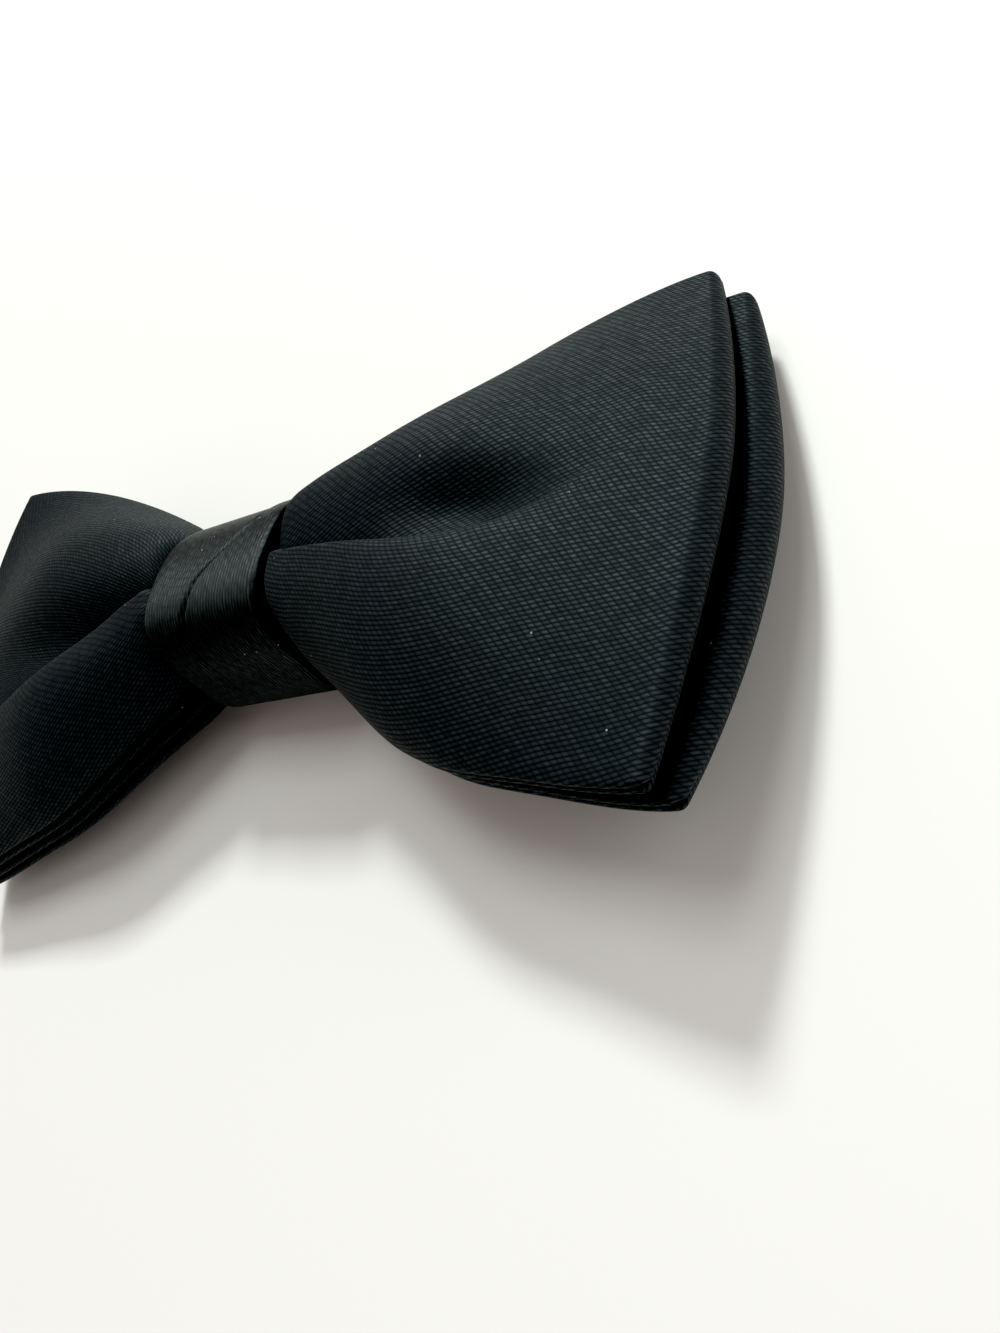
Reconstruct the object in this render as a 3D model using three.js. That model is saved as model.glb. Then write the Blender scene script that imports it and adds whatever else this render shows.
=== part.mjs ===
// A pre-tied bow tie lying on its back: two flattened loops of cloth, one behind the other,
// pinched at the middle by a wrapped knot band, with a plain clip behind the knot.
// Millimetres. +X runs along the bow to the wearer's left wing, +Y is up when it is worn,
// +Z points out of its front. The origin is on the surface that it lies on, under the knot.
import * as THREE from 'three';

// The wings.
const CORNER_X = 59.4; // from the middle to the corners of the rear loop
const END_BULGE = 4.1; // how far the rear loop's ends bow out past their corners
const FRONT_SHORTER = 2.8; // the front loop's corners stand this much nearer to the middle
const FRONT_END_BULGE = 4.35;
const BULGE_SHIFT = 0.1; // the fullest place of an end, as a share of the half height
const BULGE_POWER = 1.7;
const TIP_HALF_HEIGHT = 29.3;
const REAR_HEIGHT_SHARE = 0.98;
const LOWER_CORNER_OUT = { front: 0.5, rear: -0.9 }; // the lower corners stand this much further out
const END_SHIFT = 0.55; // the front loop's ends stand this much higher, the rear loop's lower
const CORNER_ROUNDING = 0.8; // the corners are cut back by this at the very end
const CORNER_ROUNDING_POWER = 7;
const PINCH_HALF_HEIGHT = 9.25; // inside the knot
const EDGE_HALF_HEIGHT = 10.4; // where the cloth has left the knot
const LEAVING_LENGTH = 5; // over which it spreads from the one to the other
// By the knot each loop's lower edge is drawn up and back by these amounts.
const LOWER_PINCH = { front: 2.5, rear: 1.0 };
const LOWER_EDGE_BACK = { front: 1.4, rear: 1.3 };
const LOWER_PINCH_LENGTH = 20;
const LOWER_BULGE = { x: 32, depth: 1.4, reach: 9 }; // and out in the middle of a wing
const FLARE_POWER = 1.51;
const LEFT_SAG = 2.2; // the left end lies this much lower than the right one
const END_TWIST = 4.25; // each end leans: one corner is up by this, the other down
const TWIST_POWER = 1.3;
const SAG_POWER = 1.5;

// The cloth and how its layers are stacked.
const CLOTH = 1.0;
const MID_Z = 10.85; // half way between the two loops
const LAYER_STEP = 1.85; // from one layer's middle to the next one's inside the knot
const SPLIT_MIDDLE = 2.95; // from MID_Z to the middle of either loop, half way up its ends
const SPLIT_EDGE = 1.6; // and at its corners
const SPLIT_TAPER = 0.1; // that split is less by this share at the top and more at the bottom
const END_RADIUS_EDGE = 0.78; // of the rolled end, at the corners
const END_RADIUS_MIDDLE = { front: 1.6, rear: 2.2 };
const GAP_SETTLES = 1.4; // a loop is as thick as its rolled end from 1 / 1.4 of the way along
const BELLY = 3.65; // how far the outer panel swells half way along a wing
const BELLY_POWER = 0.8;
const REAR_BELLY_SHARE = 0.6;
const REAR_LOBE_SHARE = 0.45;

// The folds of each wing's outer panel, a row for each section along X. crease is the height
// of the main crease and floor how far its bottom stands over the flat panel, upper and lower
// are how far the cloth swells over and under it, and crest is how far down the lower swelling
// its crest lies, as a share.
const RIGHT_FOLDS = [
  { x: 0, crease: 0.6, floor: 2.6, upper: 2.5, lower: 4.1, crest: 0.3 },
  { x: 9.6, crease: 0.3, floor: 2.7, upper: 2.3, lower: 4.0, crest: 0.3 },
  { x: 10.7, crease: 0.1, floor: 4.6, upper: 5.6, lower: 6.4, crest: 0.28 },
  { x: 14, crease: -0.2, floor: 4.0, upper: 5.6, lower: 6.0, crest: 0.26 },
  { x: 20, crease: -1.0, floor: 2.4, upper: 4.8, lower: 5.2, crest: 0.25 },
  { x: 28, crease: -2.2, floor: 0.8, upper: 4.0, lower: 4.6, crest: 0.25 },
  { x: 36, crease: -2.6, floor: 0.2, upper: 2.5, lower: 3.2, crest: 0.26 },
  { x: 43, crease: -1.2, floor: 0.0, upper: 1.0, lower: 1.3, crest: 0.3 },
  { x: 50, crease: 2.5, floor: 0.0, upper: 0.2, lower: 0.3, crest: 0.36 },
  { x: 60, crease: 6.0, floor: 0.0, upper: 0.0, lower: 0.0, crest: 0.4 },
];
const LEFT_FOLDS = [
  { x: 0, crease: 1.4, floor: 2.6, upper: 2.5, lower: 4.2, crest: 0.3 },
  { x: 9.6, crease: 0.9, floor: 2.7, upper: 2.2, lower: 4.2, crest: 0.3 },
  { x: 11, crease: 0.6, floor: 3.6, upper: 5.6, lower: 6.2, crest: 0.3 },
  { x: 14, crease: 0.0, floor: 2.6, upper: 6.2, lower: 5.8, crest: 0.3 },
  { x: 20, crease: -1.8, floor: 1.4, upper: 6.0, lower: 5.0, crest: 0.32 },
  { x: 30, crease: -4.6, floor: 0.4, upper: 4.8, lower: 4.2, crest: 0.36 },
  { x: 42, crease: -8.0, floor: 0.0, upper: 2.4, lower: 2.4, crest: 0.4 },
  { x: 52, crease: -10.0, floor: 0.0, upper: 0.8, lower: 0.8, crest: 0.45 },
  { x: 60, crease: -11.0, floor: 0.0, upper: 0.0, lower: 0.0, crest: 0.5 },
];
const CREASE_LIMIT = 0.9; // the crease stays inside this share of the half height
const UPPER_CREST = 0.52;
const UPPER_FULLNESS = 1;
const LOWER_FULLNESS = 0.6; // below 1 the swelling rises steeply from the crease
const RIGHT_DIMPLE = { x: 34.5, y: 1.8, depth: 3.2, reachX: 8, reachY: 4 };
const LEFT_DIMPLE = { x: 30, y: -2, depth: 2.4, reachX: 13, reachY: 4.5 };

// The knot band.
const KNOT_HALF_WIDTH = 9.2;
const KNOT_BACK_Z = 4.75;
// The band's inner face, by the angle round it from the front's middle (0) to its top (90).
const KNOT_SECTION = [
  { angle: -180, y: 0.0, z: KNOT_BACK_Z },
  { angle: -166, y: -3.3, z: KNOT_BACK_Z },
  { angle: -152, y: -6.6, z: 4.85 },
  { angle: -136, y: -8.7, z: 5.6 },
  { angle: -118, y: -9.1, z: 8.4 },
  { angle: -90, y: -8.1, z: 12.2 },
  { angle: -62, y: -7.0, z: 15.8 },
  { angle: -35, y: -5.0, z: 18.5 },
  { angle: -14, y: -2.8, z: 19.4 },
  { angle: 8, y: 1.0, z: 19.2 },
  { angle: 30, y: 4.6, z: 18.4 },
  { angle: 48, y: 7.4, z: 17.2 },
  { angle: 66, y: 9.3, z: 15.6 },
  { angle: 86, y: 10.7, z: 13.2 },
  { angle: 112, y: 10.9, z: 9.6 },
  { angle: 134, y: 9.7, z: 6.0 },
  { angle: 150, y: 7.4, z: 4.9 },
  { angle: 165, y: 3.7, z: KNOT_BACK_Z },
  { angle: 180, y: 0.0, z: KNOT_BACK_Z },
];
const BAND = 1.0; // the least wall, at the bottom of the tuck and round the back
const TUCK_UNDER_LIFT = 1.1; // the layer that goes under the tuck is thicker by this
const TUCK_OVER_LIFT = 1.4; // and the layer that lies over it by this
const TUCK_DIP = 1.1; // the lower layer rolls down by this where it goes under
const TUCK_DIP_WIDTH = 1.8;
const TUCK_STEP_WIDTH = 0.25;
const BAND_EDGE_DROP = 0.08; // the band thins towards its two edges
const BAND_EDGE_WIDTH = 0.8;
// The diagonal tuck, by the same angle: where the upper layer's edge is, and how full it is.
const TUCK = [
  { angle: -150, x: -3.2, share: 0.0 },
  { angle: -110, x: -3.2, share: 0.1 },
  { angle: -80, x: -3.0, share: 0.35 },
  { angle: -55, x: -2.7, share: 0.7 },
  { angle: -35, x: -2.1, share: 1.0 },
  { angle: -18, x: -1.3, share: 1.0 },
  { angle: -5, x: -0.5, share: 1.0 },
  { angle: 5, x: 1.1, share: 1.0 },
  { angle: 14, x: 2.8, share: 1.0 },
  { angle: 27, x: 4.8, share: 1.0 },
  { angle: 36, x: 5.9, share: 1.0 },
  { angle: 56, x: 7.0, share: 0.7 },
  { angle: 90, x: 7.6, share: 0.2 },
  { angle: 120, x: 7.6, share: 0.0 },
];

// The clip, one bent piece of sheet metal behind the knot.
const CLIP_GAP = 0.3; // to the knot
const CLIP_SHEET = 0.8;
const CLIP_HALF_HEIGHT = 6.5;
const CLIP_ARM_HALF_LENGTH = 18;
const CLIP_PLATE_HALF_LENGTH = 11;
const CLIP_WEB_HALF_WIDTH = 3;
const CLIP_CORNER = 0.3;

// How finely each surface is cut.
const INSIDE_STEPS = 2; // from the middle of the bow to the knot's edge
const PANEL_STEPS = 13; // from the knot's edge to the start of a rolled end
const PANEL_SPACING_POWER = 1.5; // above 1 the steps are shorter near the knot
const ROLL_STEPS = 3; // a quarter turn of a rolled end
const HALF_ROWS = 6; // rows of faces above the crease, and below it
const KNOT_ROUND_STEPS = 48;
const KNOT_SIDE_STEPS = 3; // from each edge of the band to the tuck
const KNOT_ROLL_STEPS = 2; // where the lower layer rolls down

const clothMaterial = new THREE.MeshStandardMaterial({ color: 0x15181b, roughness: 0.55, metalness: 0 });
const bandMaterial = new THREE.MeshStandardMaterial({ color: 0x1a1e20, roughness: 0.4, metalness: 0 });
const clipMaterial = new THREE.MeshStandardMaterial({ color: 0x8c8e90, roughness: 0.35, metalness: 1 });

function smooth(value) {
  const t = THREE.MathUtils.clamp(value, 0, 1);
  return t * t * (3 - 2 * t);
}

// One column of a table at a place between its rows, with no kink at a row.
function column(table, key, place, name) {
  const last = table.length - 1;
  if (place <= table[0][key]) return table[0][name];
  if (place >= table[last][key]) return table[last][name];
  let row = 0;
  while (table[row + 1][key] < place) row += 1;
  const slope = (i) => {
    const before = table[Math.max(i - 1, 0)];
    const after = table[Math.min(i + 1, last)];
    return (after[name] - before[name]) / (after[key] - before[key]);
  };
  const from = table[row];
  const to = table[row + 1];
  const span = to[key] - from[key];
  const t = (place - from[key]) / span;
  const a = from[name] * (1 + 2 * t) * (1 - t) ** 2 + to[name] * (3 - 2 * t) * t ** 2;
  const b = slope(row) * t * (1 - t) ** 2 - slope(row + 1) * (1 - t) * t ** 2;
  return a + b * span;
}

// A rounded swelling over 0 to 1 with its crest at a share of the way.
function swelling(way, crest, fullness) {
  const w = THREE.MathUtils.clamp(way, 0, 1) ** (Math.log(0.5) / Math.log(crest));
  return (4 * w * (1 - w)) ** fullness;
}

// The half height of a wing at a distance from the middle, and the share of the way along it.
function wingSection(loop, distance, endX) {
  const t = THREE.MathUtils.clamp((distance - KNOT_HALF_WIDTH) / (endX - KNOT_HALF_WIDTH), 0, 1);
  const leaving = smooth((distance - KNOT_HALF_WIDTH) / LEAVING_LENGTH);
  const pinch = PINCH_HALF_HEIGHT + (EDGE_HALF_HEIGHT - PINCH_HALF_HEIGHT) * leaving;
  const frontHalf = pinch + (TIP_HALF_HEIGHT - EDGE_HALF_HEIGHT) * (1 - (1 - t) ** FLARE_POWER);
  return { t, half: frontHalf * (loop > 0 ? 1 : REAR_HEIGHT_SHARE) };
}

// How far the outer panel's folds stand over its flat shape.
function foldHeight(side, distance, v, half) {
  const folds = side > 0 ? RIGHT_FOLDS : LEFT_FOLDS;
  const place = column(folds, 'x', distance, 'crease') / half;
  const crease = THREE.MathUtils.clamp(place, -CREASE_LIMIT, CREASE_LIMIT);
  const upper = v > crease;
  const way = upper ? (v - crease) / (1 - crease) : (crease - v) / (1 + crease);
  const crest = upper ? UPPER_CREST : column(folds, 'x', distance, 'crest');
  const share = swelling(way, crest, upper ? UPPER_FULLNESS : LOWER_FULLNESS);
  const low = column(folds, 'x', distance, 'floor') * (1 - way ** 2);
  return low * (1 - share) + column(folds, 'x', distance, upper ? 'upper' : 'lower') * share;
}

function dimpleDepth(side, distance, y) {
  const dimple = side > 0 ? RIGHT_DIMPLE : LEFT_DIMPLE;
  const away = ((distance - dimple.x) / dimple.reachX) ** 2 + ((y - dimple.y) / dimple.reachY) ** 2;
  return dimple.depth * Math.exp(-away);
}

// A point on the middle of a loop's cloth. loop is 1 for the front loop and -1 for the rear,
// panel is 1 for a loop's front layer and -1 for its back one, side is 1 for the right wing.
// A place is given by three shares: inside, from the bow's middle to the knot's edge, outside,
// from there to the start of the rolled end, and roll, from there to the very end. across runs
// from -1 at the bottom to 1 at the top.
function clothPoint(loop, panel, side, place, across) {
  const front = loop > 0;
  const corner = CORNER_X - (front ? FRONT_SHORTER : 0);
  const bulge = front ? FRONT_END_BULGE : END_BULGE;
  // Rows of faces follow the crease, so they are closer together on its narrow side.
  const folds = side > 0 ? RIGHT_FOLDS : LEFT_FOLDS;
  const nominalX = KNOT_HALF_WIDTH * place.inside + (corner - KNOT_HALF_WIDTH) * place.outside;
  const nominal = wingSection(loop, nominalX, corner);
  const creaseShare = column(folds, 'x', nominalX, 'crease') / nominal.half;
  const v = creaseShare + (across > 0 ? (1 - creaseShare) : (1 + creaseShare)) * across;
  const name = front ? 'front' : 'rear';
  const lowerShare = Math.max(-v, 0);
  const bowed = bulge * (1 - Math.abs(v - BULGE_SHIFT * side) ** BULGE_POWER);
  const tip = corner + bowed + LOWER_CORNER_OUT[name] * lowerShare ** 2;
  const radius = END_RADIUS_EDGE + (END_RADIUS_MIDDLE[name] - END_RADIUS_EDGE) * (1 - v * v);
  const turn = place.roll * Math.PI / 2;
  const endX = tip - radius;
  const onPanel = KNOT_HALF_WIDTH * place.inside + (endX - KNOT_HALF_WIDTH) * place.outside;
  const distance = onPanel + radius * Math.sin(turn);
  const { t, half } = wingSection(loop, distance, endX);
  const gathered = 1 - smooth((distance - KNOT_HALF_WIDTH) / LOWER_PINCH_LENGTH);
  const bulged = Math.exp(-(((distance - LOWER_BULGE.x) / LOWER_BULGE.reach) ** 2));
  const raised = v * half + lowerShare * (LOWER_PINCH[name] * gathered - LOWER_BULGE.depth * bulged);
  const rounding = CORNER_ROUNDING * (1 - Math.cos(turn)) * v ** CORNER_ROUNDING_POWER;
  const y = raised + loop * END_SHIFT * smooth(t) - rounding;
  let swell = 0;
  if (loop === panel) {
    const belly = BELLY * Math.sin(Math.PI * t ** BELLY_POWER) * (1 - v * v);
    const fold = foldHeight(side, distance, v, half);
    swell = front ? fold + belly : fold * REAR_LOBE_SHARE + belly * REAR_BELLY_SHARE;
    if (front) swell -= dimpleDepth(side, distance, y);
  }
  const pinched = LAYER_STEP / 2;
  const halfGap = pinched + (radius - pinched) * smooth(t * GAP_SETTLES);
  const split = (SPLIT_EDGE + (SPLIT_MIDDLE - SPLIT_EDGE) * (1 - v * v)) * (1 - SPLIT_TAPER * v);
  const offset = LAYER_STEP + (split - LAYER_STEP) * smooth(t);
  const lean = -END_TWIST * side * t ** TWIST_POWER * v - LOWER_EDGE_BACK[name] * gathered * lowerShare ** 2;
  const sag = side < 0 ? LEFT_SAG * t ** SAG_POWER : 0;
  const z = MID_Z + loop * offset + panel * (halfGap + swell) * Math.cos(turn) + lean;
  return new THREE.Vector3(side * distance, y - sag, z);
}

// The stations once round a loop: the right wing's front, its rolled end, its back, and on
// through the middle to the left wing and home.
function loopStations() {
  const quarter = [];
  for (let i = 0; i <= INSIDE_STEPS; i += 1) {
    quarter.push({ inside: i / INSIDE_STEPS, outside: 0, roll: 0 });
  }
  for (let i = 1; i <= PANEL_STEPS; i += 1) {
    quarter.push({ inside: 1, outside: (i / PANEL_STEPS) ** PANEL_SPACING_POWER, roll: 0 });
  }
  for (let i = 1; i <= ROLL_STEPS; i += 1) quarter.push({ inside: 1, outside: 1, roll: i / ROLL_STEPS });
  const back = quarter.slice(0, -1).reverse();
  const tagged = (list, panel, side) => list.map((place) => ({ ...place, panel, side }));
  return [
    ...tagged(quarter, 1, 1),
    ...tagged(back, -1, 1),
    ...tagged(quarter.slice(1), -1, -1),
    ...tagged(back.slice(0, -1), 1, -1),
  ];
}

// A closed sheet from a grid of its middle points that runs round in one direction and ends
// in two free edges in the other: an outer skin, an inner skin and the two edges.
function sheetGeometry(grid, inward, outward) {
  const rounds = grid.length;
  const rows = grid[0].length;
  const skin = [];
  for (let i = 0; i < rounds; i += 1) {
    for (let j = 0; j < rows; j += 1) {
      const ahead = grid[(i + 1) % rounds][j].clone().sub(grid[(i + rounds - 1) % rounds][j]);
      const over = grid[i][Math.min(j + 1, rows - 1)].clone().sub(grid[i][Math.max(j - 1, 0)]);
      const normal = ahead.cross(over).normalize();
      skin.push([
        grid[i][j].clone().addScaledVector(normal, outward(i, j)),
        grid[i][j].clone().addScaledVector(normal, -inward(i, j)),
      ]);
    }
  }
  const vertices = [];
  for (const [outer, inner] of skin) vertices.push(...outer.toArray(), ...inner.toArray());
  const outerAt = (i, j) => 2 * ((i % rounds) * rows + j);
  const innerAt = (i, j) => outerAt(i, j) + 1;
  const faces = [];
  const quad = (a, b, c, d) => faces.push(a, b, c, a, c, d);
  for (let i = 0; i < rounds; i += 1) {
    for (let j = 0; j < rows - 1; j += 1) {
      quad(outerAt(i, j), outerAt(i + 1, j), outerAt(i + 1, j + 1), outerAt(i, j + 1));
      quad(innerAt(i, j), innerAt(i, j + 1), innerAt(i + 1, j + 1), innerAt(i + 1, j));
    }
    quad(outerAt(i, 0), innerAt(i, 0), innerAt(i + 1, 0), outerAt(i + 1, 0));
    quad(outerAt(i, rows - 1), outerAt(i + 1, rows - 1), innerAt(i + 1, rows - 1), innerAt(i, rows - 1));
  }
  const geometry = new THREE.BufferGeometry();
  geometry.setAttribute('position', new THREE.Float32BufferAttribute(vertices, 3));
  geometry.setIndex(faces);
  geometry.computeVertexNormals();
  return geometry;
}

function bowGeometry(loop) {
  const grid = loopStations().map((place) => {
    const line = [];
    for (let j = -HALF_ROWS; j <= HALF_ROWS; j += 1) {
      line.push(clothPoint(loop, place.panel, place.side, place, j / HALF_ROWS));
    }
    return line;
  });
  const half = () => CLOTH / 2;
  return sheetGeometry(grid, half, half);
}

// The places across the band at an angle, with the wall there: even steps up to the tuck, the
// lower layer's roll, the step up to the upper layer's edge, and even steps on.
function bandPlaces(degrees) {
  const tuckX = column(TUCK, 'angle', degrees, 'x');
  const foot = tuckX - TUCK_STEP_WIDTH / 2;
  const head = tuckX + TUCK_STEP_WIDTH / 2;
  const stops = [
    [-KNOT_HALF_WIDTH, foot - TUCK_DIP_WIDTH, KNOT_SIDE_STEPS],
    [foot - TUCK_DIP_WIDTH, foot, KNOT_ROLL_STEPS],
    [foot, head, 1],
    [head, KNOT_HALF_WIDTH, KNOT_SIDE_STEPS],
  ];
  const places = [{ x: -KNOT_HALF_WIDTH, wall: bandWall(degrees, -KNOT_HALF_WIDTH) }];
  for (const [from, to, steps] of stops) {
    for (let i = 1; i <= steps; i += 1) {
      const x = from + ((to - from) * i) / steps;
      places.push({ x, wall: bandWall(degrees, x) });
    }
  }
  return places;
}

// The band's wall over its inner face. Left of the tuck it rolls down under the layer on the right.
function bandWall(degrees, x) {
  const tuckX = column(TUCK, 'angle', degrees, 'x');
  const share = column(TUCK, 'angle', degrees, 'share');
  const raised = smooth((x - tuckX) / TUCK_STEP_WIDTH + 0.5);
  const rolled = THREE.MathUtils.clamp(1 - (tuckX - x) / TUCK_DIP_WIDTH, 0, 1) ** 2 * (1 - raised);
  const thinning = BAND_EDGE_DROP * (1 - smooth((KNOT_HALF_WIDTH - Math.abs(x)) / BAND_EDGE_WIDTH));
  const lift = TUCK_UNDER_LIFT * (1 - raised) + TUCK_OVER_LIFT * raised;
  return BAND + share * (lift - TUCK_DIP * rolled) - thinning;
}

function knotGeometry() {
  const sections = [];
  for (let i = 0; i < KNOT_ROUND_STEPS; i += 1) {
    const degrees = 180 - (360 * i) / KNOT_ROUND_STEPS;
    const y = column(KNOT_SECTION, 'angle', degrees, 'y');
    const z = column(KNOT_SECTION, 'angle', degrees, 'z');
    sections.push({ y, z, places: bandPlaces(degrees) });
  }
  const grid = sections.map(({ y, z, places }) => places.map(({ x }) => new THREE.Vector3(x, y, z)));
  return sheetGeometry(grid, () => 0, (i, j) => sections[i].places[j].wall);
}

// The clip's outline seen from its edge: arms below that hold a collar, a web, and the plate
// that the knot's back lies on.
function clipGeometry() {
  const top = KNOT_BACK_Z - BAND - CLIP_GAP;
  const outline = [
    [-CLIP_ARM_HALF_LENGTH, CLIP_CORNER],
    [-CLIP_ARM_HALF_LENGTH + CLIP_CORNER, 0],
    [CLIP_ARM_HALF_LENGTH - CLIP_CORNER, 0],
    [CLIP_ARM_HALF_LENGTH, CLIP_CORNER],
    [CLIP_ARM_HALF_LENGTH, CLIP_SHEET],
    [CLIP_WEB_HALF_WIDTH, CLIP_SHEET],
    [CLIP_WEB_HALF_WIDTH, top - CLIP_SHEET],
    [CLIP_PLATE_HALF_LENGTH, top - CLIP_SHEET],
    [CLIP_PLATE_HALF_LENGTH, top],
    [-CLIP_PLATE_HALF_LENGTH, top],
    [-CLIP_PLATE_HALF_LENGTH, top - CLIP_SHEET],
    [-CLIP_WEB_HALF_WIDTH, top - CLIP_SHEET],
    [-CLIP_WEB_HALF_WIDTH, CLIP_SHEET],
    [-CLIP_ARM_HALF_LENGTH, CLIP_SHEET],
  ];
  const shape = new THREE.Shape(outline.map(([x, z]) => new THREE.Vector2(x, z)));
  const geometry = new THREE.ExtrudeGeometry(shape, { depth: 2 * CLIP_HALF_HEIGHT, bevelEnabled: false });
  geometry.translate(0, 0, -CLIP_HALF_HEIGHT);
  geometry.rotateX(Math.PI / 2);
  return geometry;
}

function piece(name, geometry, material) {
  const mesh = new THREE.Mesh(geometry, material);
  mesh.name = name;
  return mesh;
}

const bowTie = new THREE.Group();
bowTie.add(piece('front_bow', bowGeometry(1), clothMaterial));
bowTie.add(piece('rear_bow', bowGeometry(-1), clothMaterial));
bowTie.add(piece('knot_band', knotGeometry(), bandMaterial));
bowTie.add(piece('clip', clipGeometry(), clipMaterial));

export default bowTie;
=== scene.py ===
"""Visual model of a pre-tied bow tie that lies on its back, in the frame of its CAD model.

Sizes are in millimetres and become metres when a mesh is made. +X runs along the bow to the
wearer's left wing, +Y is up when it is worn, and +Z points out of its front.
"""

import math

import bpy
import numpy as np
from mathutils import Matrix, Vector


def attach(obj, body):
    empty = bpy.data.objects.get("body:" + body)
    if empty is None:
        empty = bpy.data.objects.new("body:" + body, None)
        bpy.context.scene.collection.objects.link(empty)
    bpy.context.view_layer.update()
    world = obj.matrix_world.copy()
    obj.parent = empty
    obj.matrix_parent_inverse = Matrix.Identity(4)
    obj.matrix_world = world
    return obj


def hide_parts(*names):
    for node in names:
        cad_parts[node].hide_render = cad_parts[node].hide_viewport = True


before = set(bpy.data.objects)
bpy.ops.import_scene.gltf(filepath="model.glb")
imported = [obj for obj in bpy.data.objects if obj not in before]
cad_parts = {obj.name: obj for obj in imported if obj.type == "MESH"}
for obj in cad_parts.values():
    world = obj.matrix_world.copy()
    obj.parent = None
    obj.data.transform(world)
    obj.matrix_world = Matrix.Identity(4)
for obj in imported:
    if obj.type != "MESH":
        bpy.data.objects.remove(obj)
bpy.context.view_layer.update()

MM = 0.001

# Wings, as in the CAD model
CORNER_X = 59.4
END_BULGE = 4.1
FRONT_SHORTER = 2.8
FRONT_END_BULGE = 4.35
BULGE_SHIFT = 0.1
BULGE_POWER = 1.7
TIP_HALF_HEIGHT = 29.3
REAR_HEIGHT_SHARE = 0.98
LOWER_CORNER_OUT = {1: 0.5, -1: -0.9}
END_SHIFT = 0.55
CORNER_ROUNDING = 0.8
CORNER_ROUNDING_POWER = 7
PINCH_HALF_HEIGHT = 9.25
EDGE_HALF_HEIGHT = 10.4
LEAVING_LENGTH = 5.0
LOWER_PINCH = {1: 2.5, -1: 1.0}
LOWER_PINCH_LENGTH = 20.0
LOWER_BULGE = {"x": 32.0, "depth": 1.4, "reach": 9.0}
LOWER_EDGE_BACK = {1: 1.4, -1: 1.3}
FLARE_POWER = 1.51
LEFT_SAG = 2.2
END_TWIST = 4.25
TWIST_POWER = 1.3
SAG_POWER = 1.5

# Cloth and how its layers are stacked, as in the CAD model
CLOTH = 1.0
MID_Z = 10.85
LAYER_STEP = 1.85
SPLIT_MIDDLE = 2.95
SPLIT_EDGE = 1.6
SPLIT_TAPER = 0.1
END_RADIUS_EDGE = 0.78
END_RADIUS_MIDDLE = {1: 1.6, -1: 2.2}
GAP_SETTLES = 1.4
BELLY = 3.65
BELLY_POWER = 0.8
REAR_BELLY_SHARE = 0.6
REAR_LOBE_SHARE = 0.45

# Folds of each wing, as in the CAD model: a row for each section along X
FOLD_COLUMNS = ("x", "crease", "floor", "upper", "lower", "crest")
RIGHT_FOLDS = (
    (0.0, 0.6, 2.6, 2.5, 4.1, 0.3),
    (9.6, 0.3, 2.7, 2.3, 4.0, 0.3),
    (10.7, 0.1, 4.6, 5.6, 6.4, 0.28),
    (14.0, -0.2, 4.0, 5.6, 6.0, 0.26),
    (20.0, -1.0, 2.4, 4.8, 5.2, 0.25),
    (28.0, -2.2, 0.8, 4.0, 4.6, 0.25),
    (36.0, -2.6, 0.2, 2.5, 3.2, 0.26),
    (43.0, -1.2, 0.0, 1.0, 1.3, 0.3),
    (50.0, 2.5, 0.0, 0.2, 0.3, 0.36),
    (60.0, 6.0, 0.0, 0.0, 0.0, 0.4),
)
LEFT_FOLDS = (
    (0.0, 1.4, 2.6, 2.5, 4.2, 0.3),
    (9.6, 0.9, 2.7, 2.2, 4.2, 0.3),
    (11.0, 0.6, 3.6, 5.6, 6.2, 0.3),
    (14.0, 0.0, 2.6, 6.2, 5.8, 0.3),
    (20.0, -1.8, 1.4, 6.0, 5.0, 0.32),
    (30.0, -4.6, 0.4, 4.8, 4.2, 0.36),
    (42.0, -8.0, 0.0, 2.4, 2.4, 0.4),
    (52.0, -10.0, 0.0, 0.8, 0.8, 0.45),
    (60.0, -11.0, 0.0, 0.0, 0.0, 0.5),
)
CREASE_LIMIT = 0.9
UPPER_CREST = 0.52
UPPER_FULLNESS = 1.0
LOWER_FULLNESS = 0.6
RIGHT_DIMPLE = {"x": 34.5, "y": 1.8, "depth": 3.2, "reach_x": 8.0, "reach_y": 4.0}
LEFT_DIMPLE = {"x": 30.0, "y": -2.0, "depth": 2.4, "reach_x": 13.0, "reach_y": 4.5}

# Knot band, as in the CAD model
KNOT_HALF_WIDTH = 9.2
KNOT_BACK_Z = 4.75
SECTION_COLUMNS = ("angle", "y", "z")
KNOT_SECTION = (
    (-180.0, 0.0, 4.75),
    (-166.0, -3.3, 4.75),
    (-152.0, -6.6, 4.85),
    (-136.0, -8.7, 5.6),
    (-118.0, -9.1, 8.4),
    (-90.0, -8.1, 12.2),
    (-62.0, -7.0, 15.8),
    (-35.0, -5.0, 18.5),
    (-14.0, -2.8, 19.4),
    (8.0, 1.0, 19.2),
    (30.0, 4.6, 18.4),
    (48.0, 7.4, 17.2),
    (66.0, 9.3, 15.6),
    (86.0, 10.7, 13.2),
    (112.0, 10.9, 9.6),
    (134.0, 9.7, 6.0),
    (150.0, 7.4, 4.9),
    (165.0, 3.7, 4.75),
    (180.0, 0.0, 4.75),
)
BAND = 1.0
TUCK_UNDER_LIFT = 1.1
TUCK_OVER_LIFT = 1.4
TUCK_DIP = 1.1
TUCK_DIP_WIDTH = 1.8
TUCK_STEP_WIDTH = 0.25
BAND_EDGE_DROP = 0.08
BAND_EDGE_WIDTH = 0.8
TUCK_COLUMNS = ("angle", "x", "share")
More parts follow.
